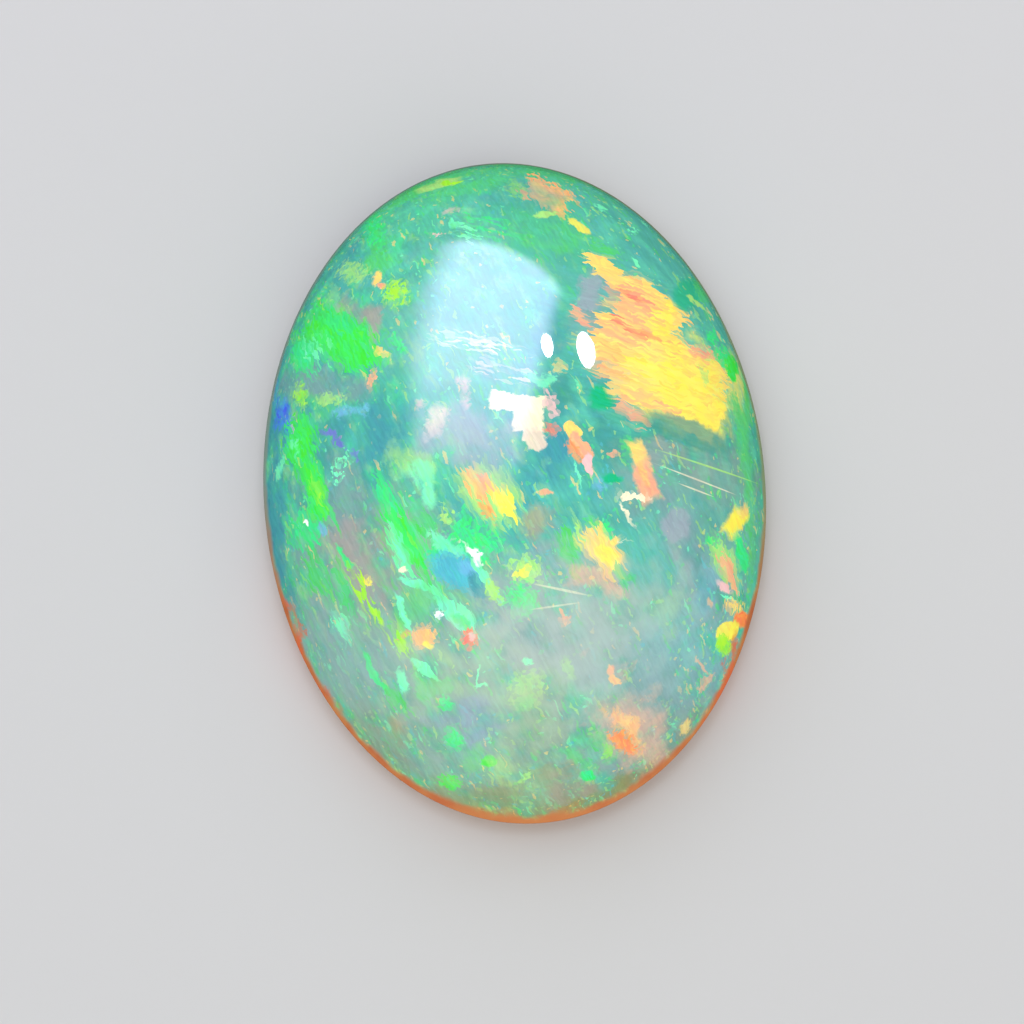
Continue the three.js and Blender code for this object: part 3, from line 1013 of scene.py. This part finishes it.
@dataclass
class PreciousOpal:
    """Precious opal: hydrated silica whose stacked microscopic spheres split light into pure colours.

    The body is milky and lets some light through. Each flake is one stack of spheres, so it has one colour,
    an angular outline and fine straight striations. The dome is polished to a mirror, and the back is only
    ground.
    """

    camera: PhotoCamera
    name: str = SLOT
    ior: float = 1.45
    specular_level: float = 0.9
    dome_roughness: float = 0.035
    back_roughness: float = 0.4
    # Emission over the whole stone: a painted glow that keeps the colours bright where the dome is in shade
    painted_glow: float = 0.36
    # A tile with more marks than this is halved, unless it is narrower than this in millimetres
    few_marks: int = 60
    narrow_tile: float = 1.3
    # The directions of the steep and the shallow splinters and of the leaf-green streaks, in degrees
    steep: float = -62.0
    shallow: float = -17.0
    leaning: float = -40.0
    # The length, width and depth of the splinters, the crumbs and the fine lines, in millimetres
    splinter: tuple[float, float, float] = (0.26, 0.04, 0.2)
    crumb: tuple[float, float, float] = (0.065, 0.065, 0.065)
    striation: tuple[float, float, float] = (0.5, 0.05, 0.4)
    # How deep a streak reaches, and over what width the left-hand streaks run out, in millimetres
    streak_depth: float = 0.5
    running_out: float = 2.5
    # The large flake's middle, as a pixel, and how far from it the splinters turn from shallow to steep
    gold_flake: tuple[float, float] = (660, 360)
    turning: tuple[float, float] = (1.6, 3.0)
    # How far the splinters and the fine lines vary in hue and in brightness
    splinter_contrast: float = 0.35
    line_range: tuple[float, float] = (0.35, 1.0)
    brightness: tuple[float, float] = (0.9, 1.08)
    hue_turn: tuple[float, float] = (0.485, 0.515)
    # How much a fleck covers, and the heights between which the sides turn into the top
    fleck_cover: float = 0.45
    sides: tuple[float, float] = (1.3, 2.8)
    # The rim's painted glow of light coming through: the heights where it is full and where it ends, how
    # far they wander, and where it turns grey
    rim_full: float = 0.56
    rim_top: float = 0.8
    rim_wander: float = 0.14
    rim_greys: tuple[float, float] = (-2.2, 0.2)
    rim_crossing: tuple[float, float] = (-2.0, 2.0)
    # The back: how high its grey and its ground finish reach up the bevel, and how much the grey covers
    grey_reach: tuple[float, float] = (0.02, 0.3)
    ground_reach: tuple[float, float] = (0.02, 0.1)
    back_cover: float = 0.9
    # How far apart the ripples of the polish and the marks of the grinding are, and how high both are
    polish_ripple: float = 2.0
    grinding_mark: float = 0.06
    relief: float = 0.006
    # What build works out and the tiles share
    tree: bpy.types.NodeTree = field(init=False)
    seen: bpy.types.NodeSocket = field(init=False)
    seen_axes: bpy.types.NodeOutputs = field(init=False)
    height: bpy.types.NodeSocket = field(init=False)
    cloud: bpy.types.NodeSocket = field(init=False)
    wavy: bpy.types.NodeSocket = field(init=False)
    paint: dict[bool, bpy.types.NodeTree] = field(init=False)
    places: dict[Grain, bpy.types.NodeSocket] = field(default_factory=dict)
    breakups: dict[Grain, bpy.types.NodeSocket] = field(default_factory=dict)
    randoms: dict[Grain, bpy.types.NodeSocket] = field(default_factory=dict)
    cuts: dict[tuple[int, float], bpy.types.NodeSocket] = field(default_factory=dict)
    streaks: tuple[Layer, ...] = field(init=False)
    flecks: tuple[Layer, ...] = field(init=False)
    overlays: tuple[Layer, ...] = field(init=False)
    shimmer: tuple[bpy.types.NodeSocket, bpy.types.NodeSocket] = field(init=False)
    gloss: dict[str, bpy.types.NodeSocket] = field(init=False)

    def build(self) -> bpy.types.Material:
        """Makes the material, with its nodes in the order in which they are worked out.

        Returns:
            The finished material.
        """
        material = bpy.data.materials.new(self.name)
        material.use_nodes = True
        material.cycles.emission_sampling = "NONE"
        self.tree = material.node_tree
        self.tree.nodes.clear()
        self.paint = {is_square: self._mark_group(is_square) for is_square in (False, True)}
        self._find_places()
        steep, shallow = self.steep, self.shallow
        self.streaks = (
            self._streaked("pale mottling", Fire.MINT, (0.9, 0.5), steep, (0.5, 0.75), 0.3),
            self._streaked("deep mottling", Fire.DEEP, (1.3, 0.7), shallow, (0.5, 0.75), 0.5),
            self._streaked("green streaks", Fire.SPRING, (0.9, 0.3), steep, (0.52, 0.72), 0.45, 0.4),
            self._streaked("leaf streaks", Fire.LEAF, (0.9, 0.4), self.leaning, (0.5, 0.7), 0.22, 3.0),
            self._streaked("pear streaks", Fire.PEAR, (0.5, 0.2), steep, (0.55, 0.75), 0.4, 2.5),
        )
        self.flecks = (
            self._scattered(Grain.STEEP, on_top=0.06, on_sides=0.12),
            self._scattered(Grain.CRUMB, on_top=0.04, on_sides=0.08),
        )
        self.shimmer = self._shimmer()
        # The rim's layer is a painted glow of light coming through; the back's is its own ground grey
        self.overlays = (self._painted_rim_glow(), self._back())
        self.gloss = self._gloss()
        half = (self.camera.stone.width / 2, self.camera.stone.length / 2)
        whole = Tile((-half[0], -half[1]), half)
        add_node(self.tree, "ShaderNodeOutputMaterial", {"Surface": self._dressed(whole)})
        return material

    def _dressed(self, tile: Tile) -> bpy.types.NodeSocket:
        """Makes the surface of one tile, halved until few marks are left, so that each place works out few.

        Args:
            tile: The tile. The outermost ones run on past its edges, round the sides.

        Returns:
            The tile's shader.
        """
        there = [mark for mark in BODY_ZONES + FLAKES if mark.touches(tile, self.camera)]
        if len(there) <= self.few_marks or tile.high[0] - tile.low[0] < self.narrow_tile:
            return self._surface(self._painted(tile))
        low, high = tile.halves()
        cut = (tile.long_way, tile.middle)
        if cut not in self.cuts:
            self.cuts[cut] = maths(self.tree, "LESS_THAN", self.seen_axes[cut[0]], cut[1])
        inputs = {0: self.cuts[cut], 1: self._dressed(high), 2: self._dressed(low)}
        return add_node(self.tree, "ShaderNodeMixShader", inputs).outputs[0]

    def _painted(self, tile: Tile) -> bpy.types.NodeSocket:
        """Lays the body, the streaks, the flakes, the milky veils with their painted pale reflection, and
        the rim with its painted glow over each other.

        Args:
            tile: The tile whose marks are laid.

        Returns:
            The stone's colour in that tile.
        """
        painter = TilePainter(self, tile)
        painter.mark_all(BODY_ZONES)
        for layer in self.streaks + self.flecks:
            painter.lay(layer)
        painter.mark_all(FLAKES)
        painter.shine(self.shimmer)
        painter.mark_all(MILK_AND_SHEEN_VEILS)
        for layer in self.overlays:
            painter.lay(layer)
        painter.mark_all(PAINTED_RIM_GLOWS)
        return painter.finish()

    def _find_places(self) -> None:
        """Reads the place on the stone in millimetres, and makes what each grain reads from it."""
        tree = self.tree
        metres = add_node(tree, "ShaderNodeTexCoord").outputs["Object"]
        here = add_node(
            tree, "ShaderNodeVectorMath", {0: metres, "Scale": 1 / MM}, operation="SCALE"
        ).outputs[0]
        self.height = add_node(tree, "ShaderNodeSeparateXYZ", {0: here}).outputs["Z"]
        turned = {"Vector": here, "Rotation": self.camera.turned.to_euler()}
        self.seen = add_node(tree, "ShaderNodeMapping", turned).outputs[0]
        self.seen_axes = add_node(tree, "ShaderNodeSeparateXYZ", {0: self.seen}).outputs
        self.cloud = ranged(tree, clouds(tree, self.seen, 0.5, 4.0).outputs[0], (0.3, 0.7))
        self.wavy = self._ruffled(across=0.3, reach=0.06)
        self._break_up(Grain.STEEP, self.steep, self.splinter)
        self._break_up(Grain.SHALLOW, self.shallow, self.splinter)
        self._break_up(Grain.CRUMB, 0.0, self.crumb)
        for grain, smooth, crumbled in (
            (Grain.CLOUD, self._ruffled(across=1.5, reach=0.5), 0.1),
            (Grain.PLATE, self.wavy, 0.03),
        ):
            crumbs = self.randoms[Grain.CRUMB]
            moved = vector_maths(tree, "MULTIPLY_ADD", crumbs, (crumbled,) * 3, smooth)
            self.places[grain] = self._flattened(moved)
            self.breakups[grain] = self.cloud
        self.places[Grain.LINE] = self._flattened(self.seen)
        self.breakups[Grain.LINE] = self.cloud

    def _flattened(self, place: bpy.types.NodeSocket) -> bpy.types.NodeSocket:
        """Sets a place's depth to 1, so that one dot product turns, shrinks and shifts it."""
        return vector_maths(self.tree, "MULTIPLY_ADD", place, (1, 1, 0), (0, 0, 1))

    def _ruffled(self, across: float, reach: float) -> bpy.types.NodeSocket:
        """Pushes the pattern about, so that its outlines wander.

        Args:
            across: How far apart the bends are, in millimetres.
            reach: How far they reach, in millimetres.

        Returns:
            The moved place.
        """
        noise = clouds(self.tree, self.seen, across, 3.0).outputs["Color"]
        centred = vector_maths(self.tree, "SUBTRACT", noise, (0.5,) * 3)
        # This noise strays from its middle by about a quarter
        return vector_maths(self.tree, "MULTIPLY_ADD", centred, (4 * reach,) * 3, self.seen)

    def _break_up(self, grain: Grain, degrees: float, size: tuple[float, float, float]) -> None:
        """Breaks the stone into long cells, for a grain whose marks take or leave whole cells.

        Args:
            grain: The grain.
            degrees: The direction of the cells' length, counter-clockwise from the picture's right.
            size: A cell's length, width and depth, in millimetres.
        """
        inside = cell_place(self.tree, self.wavy, degrees, size)
        cells = add_node(self.tree, "ShaderNodeTexVoronoi", {"Vector": inside, "Scale": 1.0})
        back = {
            "Vector": cells.outputs["Position"],
            "Rotation": (0, 0, math.radians(degrees)),
            "Scale": size,
        }
        middle = add_node(self.tree, "ShaderNodeMapping", back, vector_type="POINT").outputs[0]
        self.places[grain] = self._flattened(middle)
        self.randoms[grain] = cells.outputs["Color"]
        shares = add_node(self.tree, "ShaderNodeSeparateColor", {0: self.randoms[grain]})
        self.breakups[grain] = shares.outputs[0]

    @staticmethod
    def _mark_group(is_square: bool) -> bpy.types.NodeTree:
        """Makes the node group that lays one mark over the colour under it.

        Args:
            is_square: Whether the mark is a rectangle instead of an oval.

        Returns:
            The group. A mark fades from `Core` to 1, in shares of its own reach.
        """
        group = bpy.data.node_groups.new("opal_mark", "ShaderNodeTree")
        kinds = {"Under": "Color", "Fire": "Color"}
        kinds |= dict.fromkeys(("Place", "Along", "Across"), "Vector")
        kinds |= dict.fromkeys(("Break-up", "Core", "Strength"), "Float")
        for name, kind in kinds.items():
            group.interface.new_socket(name, in_out="INPUT", socket_type=f"NodeSocket{kind}")
        group.interface.new_socket("Colour", in_out="OUTPUT", socket_type="NodeSocketColor")
        given = add_node(group, "NodeGroupInput").outputs
        along, across = (
            vector_maths(group, "DOT_PRODUCT", given["Place"], given[way]) for way in ("Along", "Across")
        )
        edge = maths(group, "MULTIPLY_ADD", along, along, given["Break-up"])
        side = maths(
            group, "MULTIPLY_ADD", across, across, given["Break-up"] if is_square else edge
        )
        if is_square:
            side = maths(group, "MAXIMUM", edge, side)
        cover = ranged(
            group,
            side,
            (given["Core"], 1.0),
            (given["Strength"], 0.0),
            interpolation_type="SMOOTHSTEP",
            clamp=False,
        )
        mixed = blended(group, cover, given["Under"], given["Fire"])
        add_node(group, "NodeGroupOutput", {"Colour": mixed})
        return group

    def _scattered(self, grain: Grain, on_top: float, on_sides: float) -> Layer:
        """Scatters random flecks of fire, which gather in clouds.

        Args:
            grain: The grain whose cells light up.
            on_top: The share of the cells that light up on the top of the dome.
            on_sides: The share that light up low on the sides.

        Returns:
            How much the flecks cover, and their colours.
        """
        tree = self.tree
        dice = add_node(tree, "ShaderNodeSeparateColor", {0: self.randoms[grain]}).outputs
        share = ranged(tree, self.height, self.sides, (2 * on_sides, 2 * on_top))
        share = maths(tree, "MULTIPLY", share, self.cloud)
        lit = maths(tree, "LESS_THAN", dice[1], share)
        hue = add_node(tree, "ShaderNodeValToRGB", {0: dice[2]})
        stops = hue.color_ramp.elements
        stops.remove(stops[-1])
        hue.color_ramp.interpolation = "CONSTANT"
        for step, fire in enumerate(FLECK_FIRES):
            stop = stops.new(step / len(FLECK_FIRES)) if step else stops[0]
            stop.color = srgb(fire.value)
        cover = maths(tree, "MULTIPLY", lit, self.fleck_cover)
        return Layer(f"{grain.name.lower()} flecks", cover, hue.outputs[0])

    def _streaked(
        self,
        name: str,
        fire: Fire,
        size: tuple[float, float],
        degrees: float,
        fade: tuple[float, float],
        strength: float,
        left_of: float | None = None,
    ) -> Layer:
        """Draws soft long streaks of one colour through the body.

        Args:
            name: What the streaks are.
            fire: Their colour.
            size: Their length and width, in millimetres.
            degrees: Their direction, counter-clockwise from the picture's right.
            fade: The part of the noise over which they fade in.
            strength: How much they cover at most.
            left_of: How far right of the middle they run out, in millimetres, or None for everywhere.

        Returns:
            The streaks.
        """
        tree = self.tree
        # A start of its own for each kind of streak, so that no two kinds follow each other
        start = (size[0] * 7, size[1] * 9, len(name))
        inside = cell_place(tree, self.wavy, degrees, (*size, self.streak_depth), start)
        share = ranged(tree, clouds(tree, inside, 1.0, 3.0).outputs[0], fade, (0.0, strength))
        if left_of is not None:
            left = ranged(tree, self.seen_axes["X"], (left_of, left_of - self.running_out))
            share = maths(tree, "MULTIPLY", share, left)
        colour = add_node(tree, "ShaderNodeRGB")
        colour.outputs[0].default_value = srgb(fire.value)
        return Layer(name, share, colour.outputs[0])

    def _striations(self, degrees: float) -> bpy.types.NodeSocket:
        """Draws the fine straight lines of the stacked layers.

        Args:
            degrees: Their direction, counter-clockwise from the picture's right.

        Returns:
            Their brightness, from 0 to 1.
        """
        inside = cell_place(self.tree, self.seen, degrees, self.striation)
        return clouds(self.tree, inside, 1.0, 2.0).outputs[0]

    def _shimmer(self) -> tuple[bpy.types.NodeSocket, bpy.types.NodeSocket]:
        """Lets each splinter and each fine line differ a little in hue and brightness.

        Returns:
            The turn of the hue, and the brightness.
        """
        tree = self.tree
        away = vector_maths(tree, "DISTANCE", self.seen, self.camera.on_dome(self.gold_flake))
        is_steep = ranged(tree, away, self.turning)
        lines = between(
            tree, is_steep, self._striations(self.shallow), self._striations(self.steep)
        )
        splinters = blended(
            tree, is_steep, self.randoms[Grain.SHALLOW], self.randoms[Grain.STEEP]
        )
        dice = add_node(tree, "ShaderNodeSeparateColor", {0: splinters}).outputs
        both = maths(tree, "MULTIPLY_ADD", dice[0], self.splinter_contrast, lines)
        bright = ranged(tree, both, self.line_range, self.brightness)
        hue = ranged(tree, dice[1], (0.0, 1.0), self.hue_turn)
        return hue, bright

    def _painted_rim_glow(self) -> Layer:
        """Paints the light that comes through the thin rim as colour: orange at the near end, greyer round
        the far one.

        Returns:
            How much the rim covers, and its colour.
        """
        tree = self.tree
        middle = self.rim_wander / 2
        low = ranged(
            tree,
            maths(tree, "MULTIPLY_ADD", self.cloud, self.rim_wander, self.height),
            (self.rim_full + middle, self.rim_top + middle),
            (1.0, 0.0),
            interpolation_type="SMOOTHSTEP",
        )
        far = ranged(tree, self.seen_axes["Y"], self.rim_greys)
        right = ranged(tree, self.seen_axes["X"], self.rim_crossing)
        grey = blended(tree, right, srgb(Fire.DRAB.value), srgb(Fire.MOSS.value))
        glow_through = blended(tree, self.cloud, srgb(Fire.RUST.value), srgb(Fire.HONEY.value))
        return Layer("rim", low, blended(tree, far, glow_through, grey))

    def _back(self) -> Layer:
        """Greys the flat back, whose ground face hides most of the fire.

        Returns:
            How much the grey covers, and its colour.
        """
        flat = ranged(self.tree, self.height, self.grey_reach, (self.back_cover, 0.0))
        potch = blended(self.tree, self.cloud, srgb(Fire.TAN.value), srgb(Fire.MIST.value))
        return Layer("ground back", flat, potch)

    def _gloss(self) -> dict[str, bpy.types.NodeSocket]:
        """Works out the polish of the dome and the ground finish of the back.

        Returns:
            The roughness and the bumped normal, by the name of the shader's socket.
        """
        tree = self.tree
        is_back = ranged(tree, self.height, self.ground_reach, (1.0, 0.0))
        rough = between(tree, is_back, self.dome_roughness, self.back_roughness)
        polish = clouds(tree, self.seen, self.polish_ripple, 2.0).outputs[0]
        grinding = clouds(tree, self.seen, self.grinding_mark, 2.0).outputs[0]
        height = between(tree, is_back, polish, grinding)
        bumps = {"Strength": 1.0, "Distance": self.relief * MM, "Height": height}
        return {"Roughness": rough, "Normal": add_node(tree, "ShaderNodeBump", bumps).outputs[0]}

    def _surface(self, colour: bpy.types.NodeSocket) -> bpy.types.NodeSocket:
        """Makes the shader: a polished face over a milky body, with a painted glow: the stone's colour is
        also given out as light.

        Args:
            colour: The stone's colour.

        Returns:
            The shader.
        """
        inputs = self.gloss | {
            "Base Color": colour,
            "IOR": self.ior,
            "Specular IOR Level": self.specular_level,
            # Painted glow: the colour is given out as light, though the stone is no lamp
            "Emission Color": colour,
            "Emission Strength": self.painted_glow,
        }
        return add_node(self.tree, "ShaderNodeBsdfPrincipled", inputs).outputs[0]


@dataclass
class TilePainter:
    """Lays the colours of one tile over each other, in a node group of its own."""

    opal: PreciousOpal
    tile: Tile
    tree: bpy.types.NodeTree = field(init=False)
    given: bpy.types.Node = field(init=False)
    colour: Colour | bpy.types.NodeSocket = srgb(Fire.SEA.value)
    sources: dict[str, bpy.types.NodeSocket] = field(default_factory=dict)
    eaten: dict[tuple[Grain, float], bpy.types.NodeSocket] = field(default_factory=dict)

    def __post_init__(self) -> None:
        """Starts the group."""
        self.tree = bpy.data.node_groups.new("opal_tile", "ShaderNodeTree")
        self.given = add_node(self.tree, "NodeGroupInput")

    def _take(self, name: str, source: bpy.types.NodeSocket) -> bpy.types.NodeSocket:
        """Brings a value of the whole stone into the group.

        Args:
            name: What the value is.
            source: The socket outside the group that holds it.

        Returns:
            The socket inside the group.
        """
        if name not in self.sources:
            kind = {"VALUE": "Float", "VECTOR": "Vector", "RGBA": "Color"}[source.type]
            self.tree.interface.new_socket(name, in_out="INPUT", socket_type=f"NodeSocket{kind}")
            self.sources[name] = source
        return self.given.outputs[name]

    def _breakup(self, mark: Mark) -> bpy.types.NodeSocket:
        """Finds how much a mark's grain eats into it, worked out once for all marks that are alike."""
        kind = (mark.grain, mark.raggedness)
        if kind not in self.eaten:
            breakup = self._take(f"{mark.grain.name} break-up", self.opal.breakups[mark.grain])
            self.eaten[kind] = maths(self.tree, "MULTIPLY", breakup, mark.raggedness)
        return self.eaten[kind]

    def mark_all(self, marks: tuple[Mark, ...]) -> None:
        """Lays those marks that touch the tile, in their order."""
        for mark in marks:
            if not mark.touches(self.tile, self.opal.camera):
                continue
            along, across = mark.rows(self.opal.camera)
            inputs = {
                "Under": self.colour,
                "Fire": srgb(mark.fire.value),
                "Place": self._take(f"{mark.grain.name} place", self.opal.places[mark.grain]),
                "Along": along,
                "Across": across,
                "Break-up": self._breakup(mark),
                "Core": 1 - mark.softness,
                "Strength": mark.strength,
            }
            self.colour = add_node(
                self.tree, "ShaderNodeGroup", inputs, node_tree=self.opal.paint[mark.square]
            ).outputs[0]

    def lay(self, layer: Layer) -> None:
        """Lays a layer of the whole stone over the colour."""
        share = self._take(f"{layer.name} share", layer.share)
        over = self._take(f"{layer.name} colour", layer.colour)
        self.colour = blended(self.tree, share, self.colour, over)

    def shine(self, shimmer: tuple[bpy.types.NodeSocket, bpy.types.NodeSocket]) -> None:
        """Turns the colour's hue and brightness by the shimmer's two values."""
        hue, bright = (self._take(*pair) for pair in zip(("hue", "bright"), shimmer))
        inputs = {0: hue, 2: bright, 4: self.colour}
        self.colour = add_node(self.tree, "ShaderNodeHueSaturation", inputs).outputs[0]

    def finish(self) -> bpy.types.NodeSocket:
        """Puts the group into the stone's material.

        Returns:
            The tile's colour.
        """
        self.tree.interface.new_socket("Colour", in_out="OUTPUT", socket_type="NodeSocketColor")
        add_node(self.tree, "NodeGroupOutput", {"Colour": self.colour})
        return add_node(
            self.opal.tree, "ShaderNodeGroup", self.sources, node_tree=self.tree
        ).outputs[0]


@dataclass(frozen=True)
class PaleFloor:
    """A plain matt studio floor."""

    name: str = "pale_floor"
    colour: str = "#cfcdc8"
    roughness: float = 0.7

    def build(self) -> bpy.types.Material:
        """Makes the material.

        Returns:
            The finished material.
        """
        material = bpy.data.materials.new(self.name)
        material.use_nodes = True
        shader = material.node_tree.nodes["Principled BSDF"]
        shader.inputs["Base Color"].default_value = srgb(self.colour)
        shader.inputs["Roughness"].default_value = self.roughness
        return material


@dataclass(frozen=True)
class Softbox:
    """A light that faces the stone.

    Attributes:
        name: What the light is.
        aim: The pixel of the photograph where the dome mirrors it, or, for a fill light that the polish
            doesn't mirror, its direction from the stone.
        width: Its width, as an angle seen from the stone, in degrees.
        height: Its height, as an angle seen from the stone, in degrees.
        radiance: How bright its face is.
        turn: How far it is turned about the line to the stone, in degrees.
        colour: Its colour.
        shape: The shape of its face.
        fades: How much of its face fades out at the left, the right, the foot and the head.
    """

    name: str
    aim: tuple[float, ...]
    width: float
    height: float
    radiance: float
    turn: float = 0.0
    colour: str = "#ffffff"
    shape: str = "RECTANGLE"
    fades: tuple[float, float, float, float] | None = None

    @property
    def is_mirrored(self) -> bool:
        """Whether the light is there for its mirror image alone."""
        return len(self.aim) == 2


@dataclass
class Studio:
    """The plain floor and the soft lights."""

    camera: PhotoCamera
    floor_size: float = 4.0
    light_distance: float = 0.4
    world_colour: str = "#e6ecf0"
    world_strength: float = 0.6
    lights: tuple[Softbox, ...] = (
        Softbox(
            "window", (472, 352), 66, 84, 8.0, -40, "#ccc8ff", fades=(0.3, 0.14, 0.6, 0.08)
        ),
        Softbox("small_lamp", (547, 346), 4.8, 7.0, 60, 24, shape="ELLIPSE"),
        Softbox("large_lamp", (585, 350), 7.6, 10.4, 60, 36, shape="ELLIPSE"),
        Softbox("far_panel", (-0.25, 0.45, 0.86), 70, 60, 1.0),
        Softbox("near_panel", (0.15, -0.72, 0.67), 70, 50, 1.15),
    )

    def build(self, rests_at: Vector) -> None:
        """Adds the floor, the lights and the world.

        Args:
            rests_at: The middle of the stone, which the lights face.
        """
        bpy.ops.object.select_all(action="DESELECT")
        bpy.ops.mesh.primitive_plane_add(size=self.floor_size)
        floor = bpy.context.object
        floor.name = floor.data.name = "studio_floor"
        floor.data.materials.append(PaleFloor().build())
        floor.visible_glossy = False
        for light in self.lights:
            self._add_light(light, rests_at)
        world = bpy.data.worlds.new("studio_world")
        world.use_nodes = True
        background = world.node_tree.nodes["Background"]
        background.inputs["Color"].default_value = srgb(self.world_colour)
        background.inputs["Strength"].default_value = self.world_strength
        bpy.context.scene.world = world
        world.cycles_visibility.glossy = False
        bpy.context.scene.view_settings.view_transform = "Standard"

    def _add_light(self, softbox: Softbox, rests_at: Vector) -> None:
        """Adds one light, with the power that gives its face the wanted radiance.

        Args:
            softbox: The light.
            rests_at: The place that it faces.
        """
        data = bpy.data.lights.new(softbox.name, "AREA")
        data.shape = softbox.shape
        data.size = 2 * self.light_distance * math.tan(math.radians(softbox.width) / 2)
        data.size_y = 2 * self.light_distance * math.tan(math.radians(softbox.height) / 2)
        data.energy = softbox.radiance * math.pi * data.size * data.size_y
        data.color = srgb(softbox.colour)[:3]
        if softbox.fades:
            self._fade(data, softbox.fades)
        light = bpy.data.objects.new(softbox.name, data)
        light.visible_glossy = softbox.is_mirrored
        light.visible_diffuse = not softbox.is_mirrored
        if softbox.is_mirrored:
            towards = self.camera.mirrored(softbox.aim)
        else:
            towards = Vector(softbox.aim).normalized()
        light.location = rests_at + towards * self.light_distance
        facing = towards.to_track_quat("Z", "Y").to_matrix()
        turn = Matrix.Rotation(math.radians(softbox.turn), 3, "Z")
        light.rotation_euler = (facing @ turn).to_euler()
        bpy.context.scene.collection.objects.link(light)

    def _fade(self, data: bpy.types.AreaLight, fades: tuple[float, float, float, float]) -> None:
        """Fades a light's face out towards its edges, as thin curtains and haze do.

        Args:
            data: The light.
            fades: The faded share at the left, the right, the foot and the head.
        """
        data.use_nodes = True
        tree = data.node_tree
        across = add_node(tree, "ShaderNodeNewGeometry").outputs["Parametric"]
        face = add_node(tree, "ShaderNodeSeparateXYZ", {0: across}).outputs
        left, right, foot, head = fades
        strength = None
        for way, start, end in ((0, 1, 1 - left), (0, 0, right), (1, 1, 1 - foot), (1, 0, head)):
            seen = ranged(tree, face[way], (start, end), interpolation_type="SMOOTHSTEP")
            strength = seen if strength is None else maths(tree, "MULTIPLY", strength, seen)
        tree.links.new(strength, tree.nodes["Emission"].inputs["Strength"])


def main() -> None:
    """Builds the camera, the stone with its finish, and the studio."""
    shape = StoneShape.from_frame()
    camera = PhotoCamera(shape)
    camera.place()
    LOG.info("camera: %.1f mm from the stone", camera.distance)

    stone = Cabochon(shape).build()
    stone.data.materials.append(PreciousOpal(camera).build())
    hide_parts(NODE)
    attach(stone, "root")
    LOG.info("%s: %d faces, %d marks", stone.name, len(stone.data.polygons), len(FLAKES))

    Studio(camera).build(rests_at=Vector((0, 0, shape.height / 2 * MM)))
    LOG.info("studio: floor and lights")


if __name__ == "__main__":
    logging.basicConfig(level=logging.INFO, format="%(name)s: %(message)s")
    main()
